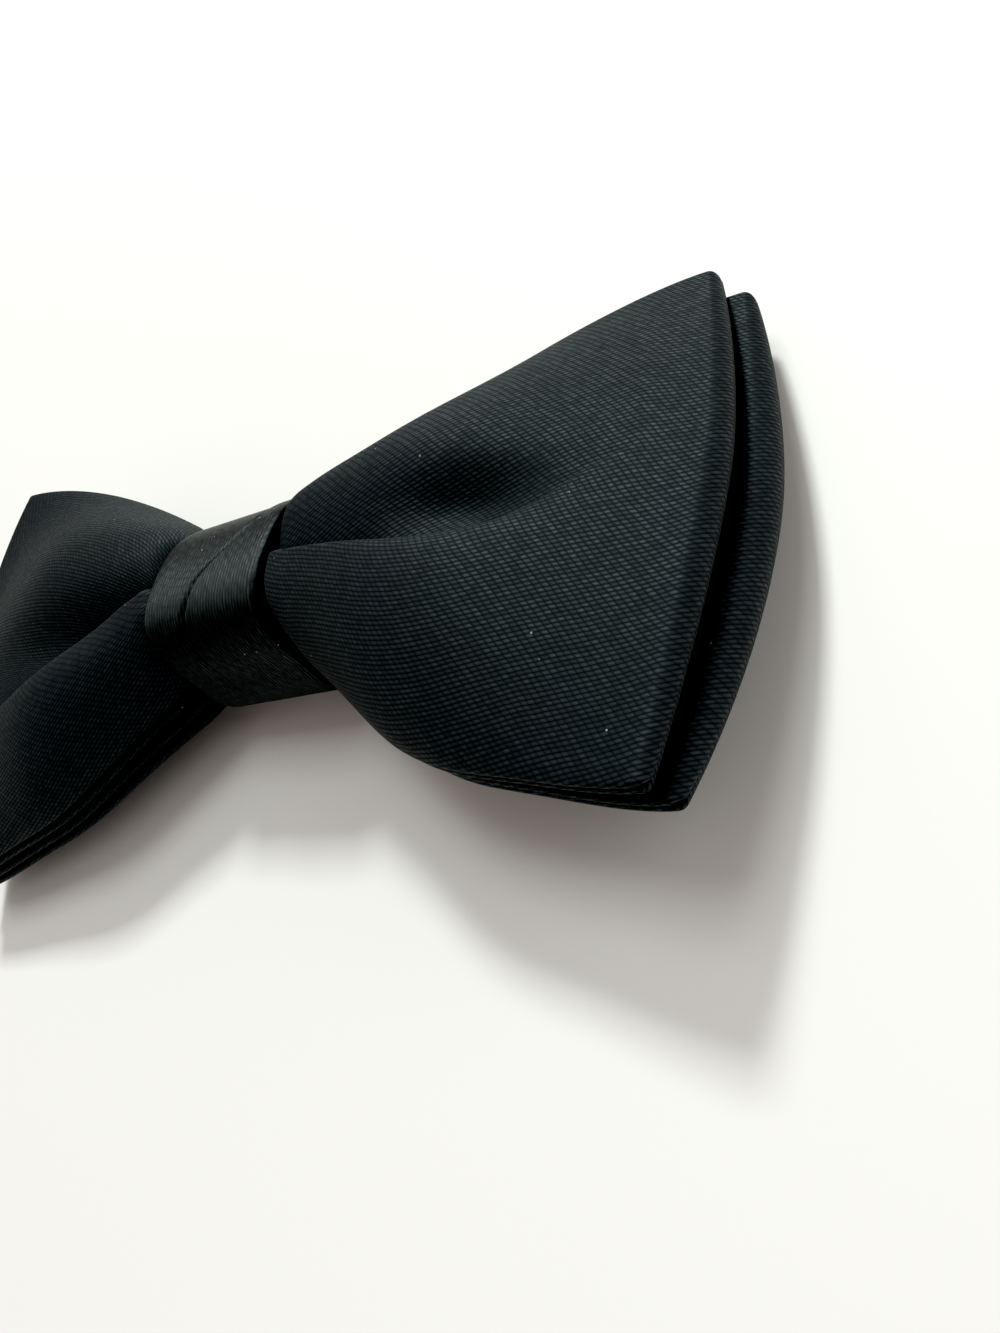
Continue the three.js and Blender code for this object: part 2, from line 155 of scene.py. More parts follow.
TUCK = (
    (-150.0, -3.2, 0.0),
    (-110.0, -3.2, 0.1),
    (-80.0, -3.0, 0.35),
    (-55.0, -2.7, 0.7),
    (-35.0, -2.1, 1.0),
    (-18.0, -1.3, 1.0),
    (-5.0, -0.5, 1.0),
    (5.0, 1.1, 1.0),
    (14.0, 2.8, 1.0),
    (27.0, 4.8, 1.0),
    (36.0, 5.9, 1.0),
    (56.0, 7.0, 0.7),
    (90.0, 7.6, 0.2),
    (120.0, 7.6, 0.0),
)

# Clip, as in the CAD model
CLIP_GAP = 0.3
CLIP_SHEET = 0.8
CLIP_HALF_HEIGHT = 6.5
CLIP_ARM_HALF_LENGTH = 18.0
CLIP_PLATE_HALF_LENGTH = 11.0
CLIP_WEB_HALF_WIDTH = 3.0
CLIP_BEND = 0.25

# How finely the cloth is cut
INSIDE_STEPS = 6
PANEL_STEPS = 76
PANEL_SPACING_POWER = 1.15
ROLL_STEPS = 12
HALF_ROWS = 40
ROW_SPACING_POWER = 1.35
EDGE_ROUND_STEPS = 5
KNOT_ROUND_STEPS = 220
KNOT_SIDE_STEPS = 34
KNOT_STEP_STEPS = 4
KNOT_SPACING_POWERS = {"left": 0.7, "right": 1.2}
CLIP_BEND_STEPS = 3

# The crisp part of the crease: the lower lobe's edge leans over the upper one
LIP_OVERHANG = 1.1
LIP_REACH = 0.32
LIP_ENDS_AT = 0.74
HIDDEN_CLOTH_SPREADS_FROM = 0.4
HIDDEN_CLOTH_SPREADS_OVER = 0.45
HIDDEN_CLOTH_NARROW = 0.4
HIDDEN_CLOTH_WIDE = 26.0

# The weave's turn on the cloth over the crease and under it, in degrees
WEAVE_TURN_UPPER = 5.0
WEAVE_TURN_LOWER = 17.0

# The width over which a turned edge loses its shine, and the share of it left between the floats
DULL_EDGE_WIDTH = 0.3
DULL_SHARE = 0.35

# A quarter turn: a woven cloth's highlight stretches across its floats
ACROSS_THREADS = 0.25

# Where the two tints and the dull fibres fade over, in values of their noise
TINT_FADE = (0.4, 0.6)
FIBRE_FADE = (0.35, 0.65)

# A woven cloth. The angles are in degrees and the spacings in millimetres on the flat cloth, and
# the scales are per metre, apart from fibre_scale, which is per millimetre along and across it
TWILL = {
    "float_angle": -3.0,
    "float_spacing": 0.47,
    "cross_angle": -59.0,
    "cross_spacing": 0.62,
    "float_gap": 0.4,
    "wander": 0.5,
    "wander_scale": 300.0,
    "dull_thread": 0.6,
    "fibre_scale": (2.5, 2.5, 1.0),
    "dull_fibre": 0.75,
    "lint_scale": 260.0,
    "lint_size": 0.028,
    "lint": (0.25, 0.27, 0.28, 1.0),
    "dull_from": 100.0,
    "tint_scale": 90.0,
    "tint_one": (0.0315, 0.0390, 0.0455, 1.0),
    "tint_two": (0.0315, 0.0405, 0.0420, 1.0),
    "between": (0.0090, 0.0118, 0.0133, 1.0),
    "rough_between": 0.75,
    "rough_thread": 0.56,
    "relief": 0.045,
    "specular": 0.36,
    "shine": (0.86, 0.96, 1.0, 1.0),
    "streak": 0.6,
    "thread_slant": 0.0,
    "sheen": 0.03,
    "sheen_roughness": 0.4,
}

# The band's smoother cloth, where it differs. Its turned edges are dull
SATIN = {
    **TWILL,
    "float_angle": 1.0,
    "float_spacing": 0.48,
    "cross_angle": 62.0,
    "cross_spacing": 1.1,
    "float_gap": 0.15,
    "dull_thread": 0.7,
    "fibre_scale": (1.0, 3.4, 1.0),
    "dull_fibre": 0.25,
    "dull_from": 9.25,
    "tint_one": (0.006, 0.0085, 0.0095, 1.0),
    "tint_two": (0.006, 0.009, 0.0085, 1.0),
    "between": (0.001, 0.002, 0.002, 1.0),
    "rough_between": 0.6,
    "rough_thread": 0.5,
    "relief": 0.04,
    "specular": 0.78,
    "shine": (0.84, 0.96, 1.0, 1.0),
    "streak": 0.75,
    "thread_slant": 0.07,
    "sheen": 0.0,
}

# Brushed steel, with its grain along X
STEEL_DARK = (0.42, 0.42, 0.43, 1.0)
STEEL_LIGHT = (0.55, 0.55, 0.56, 1.0)
STEEL_ROUGHNESS = (0.28, 0.42)
STEEL_GRAIN = (30.0, 4000.0, 4000.0)
STEEL_GRAIN_DETAIL = 3.0
STEEL_RELIEF = 0.01

# The floor, in metres
FLOOR_REACH = 3.0
FLOOR_COLOUR = (0.86, 0.86, 0.84, 1.0)
FLOOR_ROUGHNESS = 0.6

# Light. Angles in degrees, lengths in metres, power in watts, azimuth 0 straight above +Y
WORLD_COLOUR = (1.0, 0.88, 0.83, 1.0)
WORLD_STRENGTH = 0.34
LIGHT_COLOUR = (0.95, 1.0, 0.97)
LIGHT_COLUMNS = ("name", "azimuth", "elevation", "distance", "size", "power")
LIGHTS = (
    ("low_window", 8.0, 43.0, 2.0, 0.3, 30.0),
    ("high_window", 6.0, 69.0, 2.0, 0.8, 11.0),
    ("right_wall", -75.0, 30.0, 2.0, 1.5, 9.0),
)

# A contrasty tone curve, as a phone camera's: deep shadows go to black
COMBINED_CURVE = 3
TONE_POINTS = ((0.018, 0.0014), (0.035, 0.0130), (0.065, 0.040), (0.15, 0.135))

# Camera, fitted to the photograph
CAMERA_PLACE = Vector((90.9, -51.9, 84.1))
CAMERA_LOOK = Vector((-0.549, 0.390, -0.739))
CAMERA_UP = Vector((0.141, 0.915, 0.378))
CAMERA_SENSOR = 36.0
CAMERA_LENS = 27.03
CAMERA_NEAR = 0.005


def smooth(value):
    t = np.clip(value, 0.0, 1.0)
    return t * t * (3.0 - 2.0 * t)


def column(table, columns, place, name):
    """One column of a table at places between its rows, with no kink at a row."""
    at = np.array([row[0] for row in table])
    values = np.array([row[columns.index(name)] for row in table])
    last = len(table) - 1
    before = np.maximum(np.arange(last + 1) - 1, 0)
    after = np.minimum(np.arange(last + 1) + 1, last)
    slopes = (values[after] - values[before]) / (at[after] - at[before])
    inside = np.clip(place, at[0], at[-1])
    row = np.clip(np.searchsorted(at, inside) - 1, 0, last - 1)
    span = at[row + 1] - at[row]
    t = (inside - at[row]) / span
    a = values[row] * (1 + 2 * t) * (1 - t) ** 2 + values[row + 1] * (3 - 2 * t) * t**2
    b = slopes[row] * t * (1 - t) ** 2 - slopes[row + 1] * (1 - t) * t**2
    return a + b * span


def swelling(way, crest, fullness):
    """A rounded swelling over 0 to 1 with its crest at a share of the way."""
    w = np.clip(way, 0.0, 1.0) ** (math.log(0.5) / np.log(crest))
    return (4.0 * w * (1.0 - w)) ** fullness


def wing_section(loop, distance, end_x):
    """The share of the way along a wing at a distance from the middle, and its half height."""
    t = np.clip((distance - KNOT_HALF_WIDTH) / (end_x - KNOT_HALF_WIDTH), 0.0, 1.0)
    leaving = smooth((distance - KNOT_HALF_WIDTH) / LEAVING_LENGTH)
    pinch = PINCH_HALF_HEIGHT + (EDGE_HALF_HEIGHT - PINCH_HALF_HEIGHT) * leaving
    front_half = pinch + (TIP_HALF_HEIGHT - EDGE_HALF_HEIGHT) * (1 - (1 - t) ** FLARE_POWER)
    return t, front_half * (1.0 if loop > 0 else REAR_HEIGHT_SHARE)


def fold_height(folds, distance, v, half):
    """How far the outer panel's folds stand over its flat shape, and the share down the lower lobe."""
    place = column(folds, FOLD_COLUMNS, distance, "crease") / half
    crease = np.clip(place, -CREASE_LIMIT, CREASE_LIMIT)
    over = (v - crease) / (1 - crease)
    under = (crease - v) / (1 + crease)
    upper = column(folds, FOLD_COLUMNS, distance, "upper")
    lower = column(folds, FOLD_COLUMNS, distance, "lower")
    crest = column(folds, FOLD_COLUMNS, distance, "crest")
    upper_share = swelling(over, UPPER_CREST, UPPER_FULLNESS)
    lower_share = swelling(under, crest, LOWER_FULLNESS)
    way = np.where(v > crease, over, under)
    share = np.where(v > crease, upper_share, lower_share)
    low = column(folds, FOLD_COLUMNS, distance, "floor") * (1 - way**2)
    return low * (1 - share) + np.where(v > crease, upper, lower) * share, under


def dimple_depth(side, distance, y):
    dimple = RIGHT_DIMPLE if side > 0 else LEFT_DIMPLE
    away = ((distance - dimple["x"]) / dimple["reach_x"]) ** 2
    away = away + ((y - dimple["y"]) / dimple["reach_y"]) ** 2
    return dimple["depth"] * np.exp(-away)


def cloth_points(loop, panel, side, stations, across):
    """The middle of a quarter of a loop's cloth, as an array of stations by rows by 3."""
    front = loop > 0
    inside, outside, roll = (stations[:, k : k + 1] for k in range(3))
    across = across[None, :]
    corner = CORNER_X - (FRONT_SHORTER if front else 0.0)
    bulge = FRONT_END_BULGE if front else END_BULGE
    folds = RIGHT_FOLDS if side > 0 else LEFT_FOLDS
    nominal_x = KNOT_HALF_WIDTH * inside + (corner - KNOT_HALF_WIDTH) * outside
    nominal_half = wing_section(loop, nominal_x, corner)[1]
    crease_share = column(folds, FOLD_COLUMNS, nominal_x, "crease") / nominal_half
    v = crease_share + np.where(across > 0, 1 - crease_share, 1 + crease_share) * across
    lower_share = np.maximum(-v, 0.0)
    bowed = bulge * (1 - np.abs(v - BULGE_SHIFT * side) ** BULGE_POWER)
    tip = corner + bowed + LOWER_CORNER_OUT[loop] * lower_share**2
    radius = END_RADIUS_EDGE + (END_RADIUS_MIDDLE[loop] - END_RADIUS_EDGE) * (1 - v * v)
    turn = roll * math.pi / 2
    end_x = tip - radius
    on_panel = KNOT_HALF_WIDTH * inside + (end_x - KNOT_HALF_WIDTH) * outside
    distance = on_panel + radius * np.sin(turn)
    t, half = wing_section(loop, distance, end_x)
    gathered = 1 - smooth((distance - KNOT_HALF_WIDTH) / LOWER_PINCH_LENGTH)
    bulged = np.exp(-(((distance - LOWER_BULGE["x"]) / LOWER_BULGE["reach"]) ** 2))
    raised = v * half + lower_share * (LOWER_PINCH[loop] * gathered - LOWER_BULGE["depth"] * bulged)
    rounding = CORNER_ROUNDING * (1 - np.cos(turn)) * v**CORNER_ROUNDING_POWER
    y = raised + loop * END_SHIFT * smooth(t) - rounding
    swell = np.zeros_like(y)
    if loop == panel:
        belly = BELLY * np.sin(math.pi * t**BELLY_POWER) * (1 - v * v)
        fold, under = fold_height(folds, distance, v, half)
        if front:
            swell = fold + belly - dimple_depth(side, distance, y)
            lip = np.sin(math.pi * np.clip(under / LIP_REACH, 0.0, 1.0)) ** 2
            y = y + LIP_OVERHANG * lip * (1 - smooth(t / LIP_ENDS_AT))
        else:
            swell = fold * REAR_LOBE_SHARE + belly * REAR_BELLY_SHARE
    pinched = LAYER_STEP / 2
    half_gap = pinched + (radius - pinched) * smooth(t * GAP_SETTLES)
    split = (SPLIT_EDGE + (SPLIT_MIDDLE - SPLIT_EDGE) * (1 - v * v)) * (1 - SPLIT_TAPER * v)
    offset = LAYER_STEP + (split - LAYER_STEP) * smooth(t)
    lean = -END_TWIST * side * t**TWIST_POWER * v
    lean = lean - LOWER_EDGE_BACK[loop] * gathered * lower_share**2
    if side < 0:
        y = y - LEFT_SAG * t**SAG_POWER
    z = MID_Z + loop * offset + panel * (half_gap + swell) * np.cos(turn) + lean
    return np.stack([side * distance + 0 * y, y, z], axis=2)


def quarter_stations():
    """From the bow's middle to a wing's end: shares inside the knot, along the wing, round the roll."""
    rows = [(i / INSIDE_STEPS, 0.0, 0.0) for i in range(INSIDE_STEPS + 1)]
    rows += [(1.0, (i / PANEL_STEPS) ** PANEL_SPACING_POWER, 0.0) for i in range(1, PANEL_STEPS + 1)]
    rows += [(1.0, 1.0, i / ROLL_STEPS) for i in range(1, ROLL_STEPS + 1)]
    return np.array(rows)


def row_shares():
    """Places across the cloth from bottom to top, closest together at the crease."""
    up = (np.arange(1, HALF_ROWS + 1) / HALF_ROWS) ** ROW_SPACING_POWER
    return np.concatenate([-up[::-1], [0.0], up])


def lengths_along(points):
    """Distance run along the first axis of an array of points, starting from 0."""
    steps = np.linalg.norm(np.diff(points, axis=0), axis=2)
    return np.concatenate([np.zeros((1, points.shape[1])), np.cumsum(steps, axis=0)])


def cloth_lengthwise(quarter):
    """The flat cloth's coordinate along a quarter, from 0 to the same value on every row."""
    run = lengths_along(quarter)
    return run / run[-1:] * run[-1].mean()


def cloth_crosswise(quarter, t_share, folded):
    """The flat cloth's coordinate across a quarter, and how far each place counts as over the
    crease. Cloth that the crease hides is skipped there."""
    run = lengths_along(quarter.transpose(1, 0, 2)).T
    width = run[-1, -1]
    hidden = np.maximum(width - run[:, -1:], 0.0)
    spread = smooth((t_share - HIDDEN_CLOTH_SPREADS_FROM) / HIDDEN_CLOTH_SPREADS_OVER)
    reach = HIDDEN_CLOTH_NARROW + (HIDDEN_CLOTH_WIDE - HIDDEN_CLOTH_NARROW) * spread
    if not folded:
        reach = reach * 0 + HIDDEN_CLOTH_WIDE
    from_crease = run - run[:, HALF_ROWS : HALF_ROWS + 1]
    over_crease = smooth(from_crease / reach + 0.5)
    return run - width / 2 + hidden * over_crease, over_crease


def loop_grid(loop):
    """A loop's middle surface all the way round, with the flat cloth's two coordinates on it."""
    stations = quarter_stations()
    across = row_shares()
    points, along, over = [], [], []
    done = 0.0
    width = 0.0
    for panel, side, outward in ((1, 1, True), (-1, 1, False), (-1, -1, True), (1, -1, False)):
        quarter = cloth_points(loop, panel, side, stations, across)
        u = cloth_lengthwise(quarter)
        v, over_crease = cloth_crosswise(quarter, stations[:, 1:2], folded=loop == panel)
        end = u[-1, 0]
        if not outward:
            quarter, u, v, over_crease = quarter[::-1], end - u[::-1], v[::-1], over_crease[::-1]
        from_end = u - end if outward else u
        turn = np.radians(WEAVE_TURN_LOWER + (WEAVE_TURN_UPPER - WEAVE_TURN_LOWER) * over_crease)
        u = u - from_end + from_end * np.cos(turn) + v * np.sin(turn)
        v = v * np.cos(turn) - from_end * np.sin(turn)
        points.append(quarter[:-1])
        along.append(u[:-1] + done)
        over.append(v[:-1])
        done += end
        width = max(width, lengths_along(quarter.transpose(1, 0, 2))[-1].max())
    around = np.concatenate(along + [along[0][:1] + done])
    return np.concatenate(points), around, np.concatenate(over + [over[0][:1]]), done, width


def grid_normals(points):
    ahead = np.roll(points, -1, axis=0) - np.roll(points, 1, axis=0)
    over = np.gradient(points, axis=1)
    normal = np.cross(ahead, over)
    return normal / np.linalg.norm(normal, axis=2, keepdims=True)


def rounded_sheet(points, wall_in, wall_out, along, over):
    """Wraps a skin round a closed band of middle points: its outside, a round edge, its inside and
    a round edge again. Gives the grid of skin points and the flat cloth's coordinates on it."""
    normal = grid_normals(points)
    half = (wall_in + wall_out)[..., None] / 2
    middle = points + normal * (wall_out - wall_in)[..., None] / 2
    turns = np.linspace(0.0, math.pi, EDGE_ROUND_STEPS + 2)[1:-1]

    def edge(row, neighbour):
        out = points[:, row] - points[:, neighbour]
        out = out / np.linalg.norm(out, axis=1, keepdims=True)
        caps = [
            middle[:, row] + half[:, row] * (math.cos(a) * normal[:, row] + math.sin(a) * out)
            for a in turns
        ]
        return np.stack(caps, axis=1)

    top = edge(-1, -2)
    bottom = edge(0, 1)[:, ::-1]
    outer = middle + normal * half
    inner = (middle - normal * half)[:, ::-1]
    skin = np.concatenate([outer, top, inner, bottom], axis=1)
    cap_steps = len(turns)
    u_cap = np.repeat(along[:, -1:], cap_steps, axis=1)
    u_low = np.repeat(along[:, :1], cap_steps, axis=1)
    arc = CLOTH * math.pi / 2 * np.arange(1, cap_steps + 1) / (cap_steps + 1)
    v_cap = over[:, -1:] + arc
    v_low = over[:, :1] - arc[::-1]
    u = np.concatenate([along, u_cap, along[:, ::-1], u_low, along[:, :1]], axis=1)
    v = np.concatenate([over, v_cap, over[:, ::-1], v_low, over[:, :1]], axis=1)
    return skin, u, v


def closed_grid_object(name, skin, u, v, material):
    """A mesh from a grid of points that closes in both directions, with a UV map in millimetres."""
    rounds, rows = skin.shape[:2]
    i, j = np.meshgrid(np.arange(rounds), np.arange(rows), indexing="ij")
    i_next, j_next = (i + 1) % rounds, (j + 1) % rows
    faces = np.stack([i * rows + j, i_next * rows + j, i_next * rows + j_next, i * rows + j_next], axis=2)
    corners_i = np.stack([i, i + 1, i + 1, i], axis=2)
    corners_j = np.stack([j, j, j + 1, j + 1], axis=2)
    mesh = bpy.data.meshes.new(name)
    mesh.from_pydata(skin.reshape(-1, 3) * MM, [], faces.reshape(-1, 4).tolist())
    uv = mesh.uv_layers.new(name="cloth_mm")
    flat = np.stack([u[corners_i, corners_j], v[corners_i, corners_j]], axis=3)
    uv.data.foreach_set("uv", flat.reshape(-1).astype(np.float32))
    mesh.polygons.foreach_set("use_smooth", np.ones(len(mesh.polygons), dtype=bool))
    mesh.materials.append(material)
    mesh.update()
    made = bpy.data.objects.new(name, mesh)
    bpy.context.scene.collection.objects.link(made)
    return made


class Nodes:
    """Short names for building a material's nodes."""

    def __init__(self, name):
        self.material = bpy.data.materials.new(name)
        self.material.use_nodes = True
        self.tree = self.material.node_tree
        self.shader = self.tree.nodes["Principled BSDF"]

    def add(self, kind, **settings):
        node = self.tree.nodes.new(kind)
        for key, value in settings.items():
            setattr(node, key, value)
        return node

    def put(self, socket, value):
        if isinstance(value, bpy.types.NodeSocket):
            self.tree.links.new(value, socket)
        else:
            socket.default_value = value

    def math(self, operation, *values):
        node = self.add("ShaderNodeMath", operation=operation)
        for socket, value in zip(node.inputs, values):
            self.put(socket, value)
        return node.outputs[0]

    def dot(self, vector, other):
        node = self.add("ShaderNodeVectorMath", operation="DOT_PRODUCT")
        self.put(node.inputs[0], vector)
        node.inputs[1].default_value = other
        return node.outputs["Value"]

    def noise(self, vector, scale, detail=2.0):
        node = self.add("ShaderNodeTexNoise")
        self.put(node.inputs["Vector"], vector)
        node.inputs["Scale"].default_value = scale
        node.inputs["Detail"].default_value = detail
        return node.outputs["Fac"]

    def mix(self, share, first, second):
        node = self.add("ShaderNodeMix", data_type="RGBA")
        self.put(node.inputs["Factor"], share)
        self.put(node.inputs["A"], first)
        self.put(node.inputs["B"], second)
        return node.outputs["Result"]

    def span(self, value, low, high, to_low, to_high):
        node = self.add("ShaderNodeMapRange")
        for socket, number in zip(node.inputs, (value, low, high, to_low, to_high)):
            self.put(socket, number)
        return node.outputs[0]

    def bump(self, height, distance):
        node = self.add("ShaderNodeBump")
        node.inputs["Distance"].default_value = distance
        self.put(node.inputs["Height"], height)
        return node.outputs["Normal"]


def line_frequency(angle, spacing):
    """The wave vector of lines that run at an angle in degrees with a spacing in millimetres."""
    a = math.radians(angle)
    return (-math.sin(a) / spacing, math.cos(a) / spacing, 0.0)


def floats(n, cloth, place, style):
    """How much a float stands out at each place: a slanting lattice, uneven from float to float."""
    wander = n.math("SUBTRACT", n.noise(place, style["wander_scale"]), 0.5)
    wander = n.math("MULTIPLY", wander, style["wander"])
    across_lines = n.dot(cloth, line_frequency(style["float_angle"], style["float_spacing"]))
    cross_lines = n.dot(cloth, line_frequency(style["cross_angle"], style["cross_spacing"]))
    across_lines = n.math("ADD", across_lines, wander)
    cross_lines = n.math("ADD", cross_lines, wander)
    ridge = n.math("SINE", n.math("MULTIPLY", n.math("FRACT", across_lines), math.pi))
    float_end = n.math("SINE", n.math("MULTIPLY", n.math("FRACT", cross_lines), math.pi))
    thread = n.math("MULTIPLY", ridge, n.math("POWER", float_end, style["float_gap"]))
    cell = n.add("ShaderNodeCombineXYZ")
    n.put(cell.inputs[0], n.math("FLOOR", across_lines))
    n.put(cell.inputs[1], n.math("FLOOR", cross_lines))
    chance = n.add("ShaderNodeTexWhiteNoise", noise_dimensions="2D")
    n.put(chance.inputs["Vector"], cell.outputs[0])
    evenness = n.span(chance.outputs["Value"], 0.0, 1.0, style["dull_thread"], 1.0)
    stretched = n.add("ShaderNodeMapping")
    stretched.inputs["Scale"].default_value = style["fibre_scale"]
    n.put(stretched.inputs["Vector"], cloth)
    fibres = n.span(n.noise(stretched.outputs[0], 1.0), *FIBRE_FADE, style["dull_fibre"], 1.0)
    return n.math("MULTIPLY", n.math("MULTIPLY", thread, evenness), fibres)


def cloth_colour(n, place, lively, style):
    """Darker between the floats, with two faint tints and a few specks of lint."""
    tint_share = n.span(n.noise(place, style["tint_scale"]), *TINT_FADE, 0.0, 1.0)
    tint = n.mix(tint_share, style["tint_one"], style["tint_two"])
    specks = n.add("ShaderNodeTexVoronoi")
    n.put(specks.inputs["Vector"], place)
    specks.inputs["Scale"].default_value = style["lint_scale"]
    lint = n.math("LESS_THAN", specks.outputs["Distance"], style["lint_size"])
    return n.mix(lint, n.mix(lively, style["between"], tint), style["lint"])


def cloth_shine(n, cloth, lively, style):
    """Stronger on the floats, and gone on a turned edge."""
    sides = n.add("ShaderNodeSeparateXYZ")
    n.put(sides.inputs[0], cloth)
    from_middle = n.math("ABSOLUTE", sides.outputs[1])
    edge = style["dull_from"]
    on_face = n.span(from_middle, edge, edge + DULL_EDGE_WIDTH, 1.0, 0.0)
    shine = n.span(lively, 0.0, 1.0, style["specular"] * DULL_SHARE, style["specular"])
    return n.math("MULTIPLY", shine, on_face)


def woven_material(name, style):
    n = Nodes(name)
    cloth = n.add("ShaderNodeUVMap", uv_map="cloth_mm").outputs["UV"]
    place = n.add("ShaderNodeTexCoord").outputs["Object"]
    lively = floats(n, cloth, place, style)
    roughness = n.span(lively, 0.0, 1.0, style["rough_between"], style["rough_thread"])
    n.put(n.shader.inputs["Base Color"], cloth_colour(n, place, lively, style))
    n.put(n.shader.inputs["Roughness"], roughness)
    n.put(n.shader.inputs["Normal"], n.bump(lively, style["relief"] * MM))
    n.put(n.shader.inputs["Specular IOR Level"], cloth_shine(n, cloth, lively, style))
    n.shader.inputs["Specular Tint"].default_value = style["shine"]
    n.shader.inputs["Anisotropic"].default_value = style["streak"]
    n.shader.inputs["Anisotropic Rotation"].default_value = ACROSS_THREADS + style["thread_slant"]
    tangent = n.add("ShaderNodeTangent", direction_type="UV_MAP", uv_map="cloth_mm")
    n.put(n.shader.inputs["Tangent"], tangent.outputs[0])
    n.shader.inputs["Sheen Weight"].default_value = style["sheen"]
    n.shader.inputs["Sheen Roughness"].default_value = style["sheen_roughness"]
    return n.material


def steel_material():
    n = Nodes("brushed_steel")
    place = n.add("ShaderNodeTexCoord").outputs["Object"]
    stretched = n.add("ShaderNodeMapping")
    stretched.inputs["Scale"].default_value = STEEL_GRAIN
    n.put(stretched.inputs["Vector"], place)
    grain = n.noise(stretched.outputs[0], 1.0, STEEL_GRAIN_DETAIL)
    n.put(n.shader.inputs["Base Color"], n.mix(grain, STEEL_DARK, STEEL_LIGHT))
    n.put(n.shader.inputs["Roughness"], n.span(grain, 0.0, 1.0, *STEEL_ROUGHNESS))
    n.put(n.shader.inputs["Normal"], n.bump(grain, STEEL_RELIEF * MM))
    n.shader.inputs["Metallic"].default_value = 1.0
    return n.material


def floor_material():
    n = Nodes("pale_floor")
    n.shader.inputs["Base Color"].default_value = FLOOR_COLOUR
    n.shader.inputs["Roughness"].default_value = FLOOR_ROUGHNESS
    return n.material


def bow_cloth(name, node, loop, material):
    points, along, over, flat_length, flat_width = loop_grid(loop)
    wall = np.full(points.shape[:2], CLOTH / 2)
    skin, u, v = rounded_sheet(points, wall, wall, along, over)
    made = closed_grid_object(name, skin, u, v, material)
    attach(made, "root")
    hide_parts(node)
    return made, flat_length, flat_width


def band_places(tuck_x):
    """Places across the band at each angle, closest together over the tuck."""
    to_tuck = np.linspace(0.0, 1.0, KNOT_SIDE_STEPS + 1)[None, :]
    over_tuck = np.linspace(0.0, 1.0, KNOT_STEP_STEPS + 1)[None, 1:]
    start = tuck_x - TUCK_STEP_WIDTH / 2
    left = -KNOT_HALF_WIDTH + (start + KNOT_HALF_WIDTH) * to_tuck ** KNOT_SPACING_POWERS["left"]
    step = start + TUCK_STEP_WIDTH * over_tuck
    end = start + TUCK_STEP_WIDTH
    right = end + (KNOT_HALF_WIDTH - end) * to_tuck[:, 1:] ** KNOT_SPACING_POWERS["right"]
    return np.concatenate([left, step, right], axis=1)


def band_wall(degrees, x):
    """The band's wall over its inner face. Left of the tuck it rolls down under the layer on the right."""
    tuck_x = column(TUCK, TUCK_COLUMNS, degrees, "x")
    share = column(TUCK, TUCK_COLUMNS, degrees, "share")
    raised = smooth((x - tuck_x) / TUCK_STEP_WIDTH + 0.5)
    rolled = np.clip(1 - (tuck_x - x) / TUCK_DIP_WIDTH, 0.0, 1.0) ** 2 * (1 - raised)
    to_edge = KNOT_HALF_WIDTH - np.abs(x)
    thinning = BAND_EDGE_DROP * (1 - smooth(to_edge / BAND_EDGE_WIDTH))
    lift = TUCK_UNDER_LIFT * (1 - raised) + TUCK_OVER_LIFT * raised
    return BAND + share * (lift - TUCK_DIP * rolled) - thinning


def knot_cloth(material):
    angles = math.pi - 2 * math.pi * np.arange(KNOT_ROUND_STEPS) / KNOT_ROUND_STEPS
    degrees = np.degrees(angles)[:, None]
    x = band_places(column(TUCK, TUCK_COLUMNS, degrees, "x"))
    y = column(KNOT_SECTION, SECTION_COLUMNS, degrees, "y") + 0 * x
    z = column(KNOT_SECTION, SECTION_COLUMNS, degrees, "z") + 0 * x
    points = np.stack([x, y, z], axis=2)
    wall = band_wall(degrees, x)
    closed = np.concatenate([points, points[:1]])
    along = lengths_along(closed)
    over = np.concatenate([x, x[:1]])
    skin, u, v = rounded_sheet(points, np.zeros_like(wall), wall, along, over)
    made = closed_grid_object("knot_satin", skin, u, v, material)
    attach(made, "root")
    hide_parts("knot_band")
    return made, along[-1, 0]


def clip_plate(material):
    top = KNOT_BACK_Z - BAND - CLIP_GAP
    right = [
        (CLIP_ARM_HALF_LENGTH, 0.0),
        (CLIP_ARM_HALF_LENGTH, CLIP_SHEET),
        (CLIP_WEB_HALF_WIDTH, CLIP_SHEET),
        (CLIP_WEB_HALF_WIDTH, top - CLIP_SHEET),
        (CLIP_PLATE_HALF_LENGTH, top - CLIP_SHEET),
        (CLIP_PLATE_HALF_LENGTH, top),
    ]
    outline = right + [(-x, z) for x, z in reversed(right)]
    count = len(outline)
    vertices = [(x * MM, y * MM, z * MM) for y in (-CLIP_HALF_HEIGHT, CLIP_HALF_HEIGHT) for x, z in outline]
    faces = [tuple(range(count)), tuple(reversed(range(count, 2 * count)))]
    faces += [(i, i + count, (i + 1) % count + count, (i + 1) % count) for i in range(count)]
    mesh = bpy.data.meshes.new("neck_clip")
    mesh.from_pydata(vertices, [], faces)
    mesh.materials.append(material)
    made = bpy.data.objects.new("neck_clip", mesh)
    bpy.context.scene.collection.objects.link(made)
    bevel = made.modifiers.new("bends", "BEVEL")
    bevel.width = CLIP_BEND * MM
    bevel.segments = CLIP_BEND_STEPS
    bevel.limit_method = "ANGLE"
    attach(made, "root")
    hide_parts("clip")
    return made


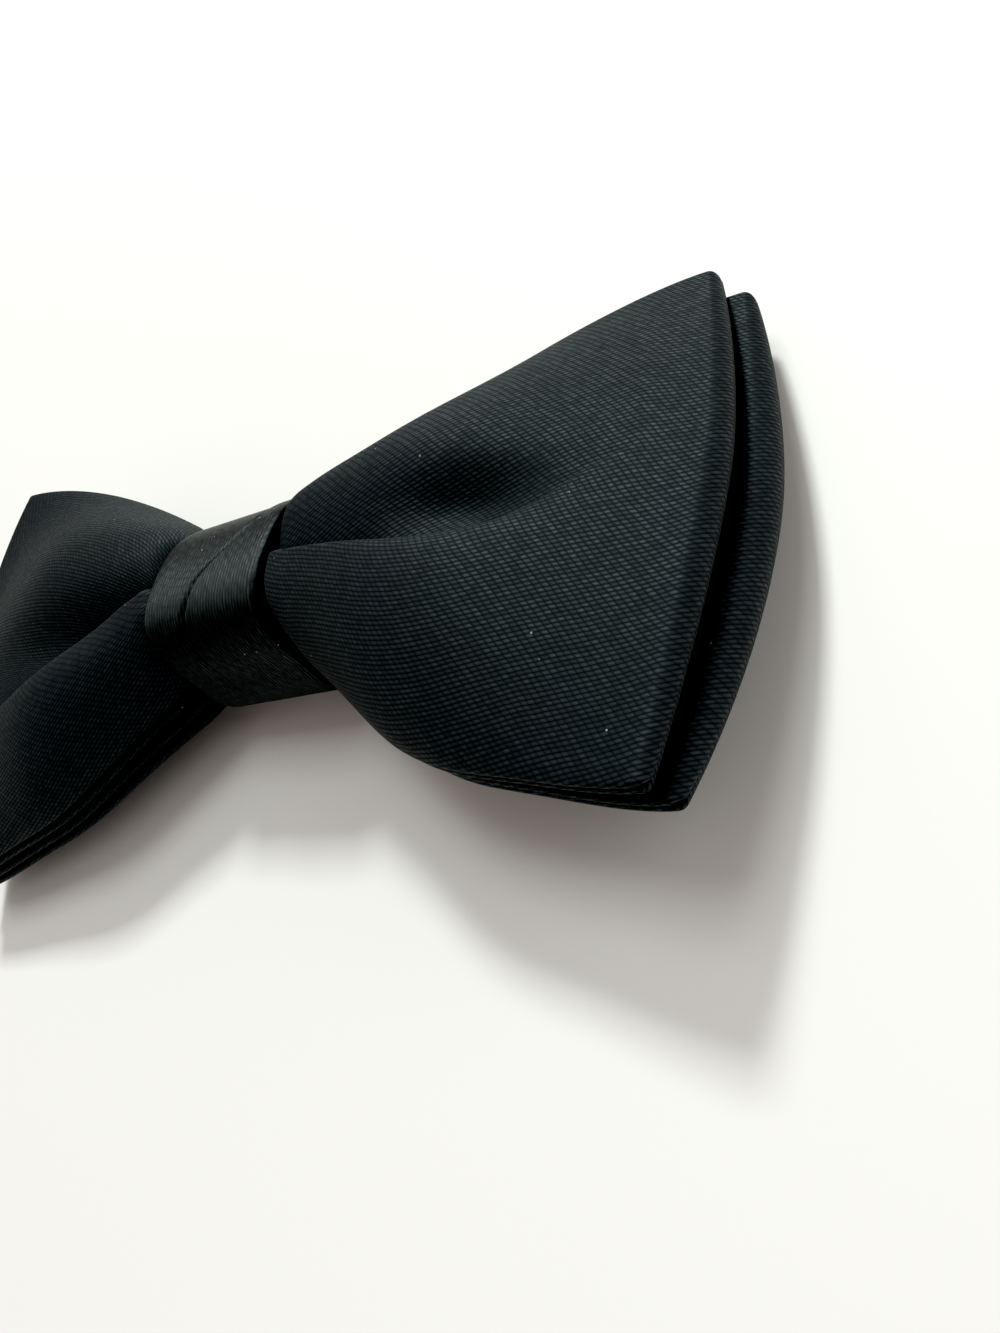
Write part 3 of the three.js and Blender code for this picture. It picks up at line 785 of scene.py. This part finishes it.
def floor():
    mesh = bpy.data.meshes.new("floor")
    corners = [(FLOOR_REACH * x, FLOOR_REACH * y, 0) for x, y in ((-1, -1), (1, -1), (1, 1), (-1, 1))]
    mesh.from_pydata(corners, [], [(0, 1, 2, 3)])
    mesh.materials.append(floor_material())
    made = bpy.data.objects.new("floor", mesh)
    bpy.context.scene.collection.objects.link(made)


def camera():
    data = bpy.data.cameras.new("camera")
    data.sensor_width = CAMERA_SENSOR
    data.lens = CAMERA_LENS
    data.clip_start = CAMERA_NEAR
    made = bpy.data.objects.new("camera", data)
    back = -CAMERA_LOOK.normalized()
    right = CAMERA_UP.cross(back).normalized()
    up = back.cross(right)
    turn = Matrix((right, up, back)).transposed().to_4x4()
    made.matrix_world = Matrix.Translation(CAMERA_PLACE * MM) @ turn
    bpy.context.scene.collection.objects.link(made)
    bpy.context.scene.camera = made


def area_light(row):
    """A soft square light that is aimed at the bow's middle."""
    lamp = dict(zip(LIGHT_COLUMNS, row))
    data = bpy.data.lights.new(lamp["name"], "AREA")
    data.size = lamp["size"]
    data.energy = lamp["power"]
    data.color = LIGHT_COLOUR
    made = bpy.data.objects.new(lamp["name"], data)
    rise, aside = math.radians(lamp["elevation"]), math.radians(lamp["azimuth"])
    level = lamp["distance"] * math.cos(rise)
    height = lamp["distance"] * math.sin(rise)
    made.location = (-level * math.sin(aside), level * math.cos(aside), height)
    made.rotation_euler = (-made.location).to_track_quat("-Z", "Y").to_euler()
    bpy.context.scene.collection.objects.link(made)


def light():
    world = bpy.data.worlds.new("studio")
    world.use_nodes = True
    background = world.node_tree.nodes["Background"]
    background.inputs["Color"].default_value = WORLD_COLOUR
    background.inputs["Strength"].default_value = WORLD_STRENGTH
    bpy.context.scene.world = world
    for row in LIGHTS:
        area_light(row)
    view = bpy.context.scene.view_settings
    view.view_transform = "Standard"
    view.use_curve_mapping = True
    tone = view.curve_mapping.curves[COMBINED_CURVE]
    for place, level in TONE_POINTS:
        tone.points.new(place, level)
    view.curve_mapping.update()


camera()
twill = woven_material("black_twill", TWILL)
satin = woven_material("black_satin", SATIN)
front, front_round, front_width = bow_cloth("bow_front_cloth", "front_bow", 1, twill)
rear, rear_round, rear_width = bow_cloth("bow_rear_cloth", "rear_bow", -1, twill)
knot, knot_round = knot_cloth(satin)
clip_plate(steel_material())
floor()
light()
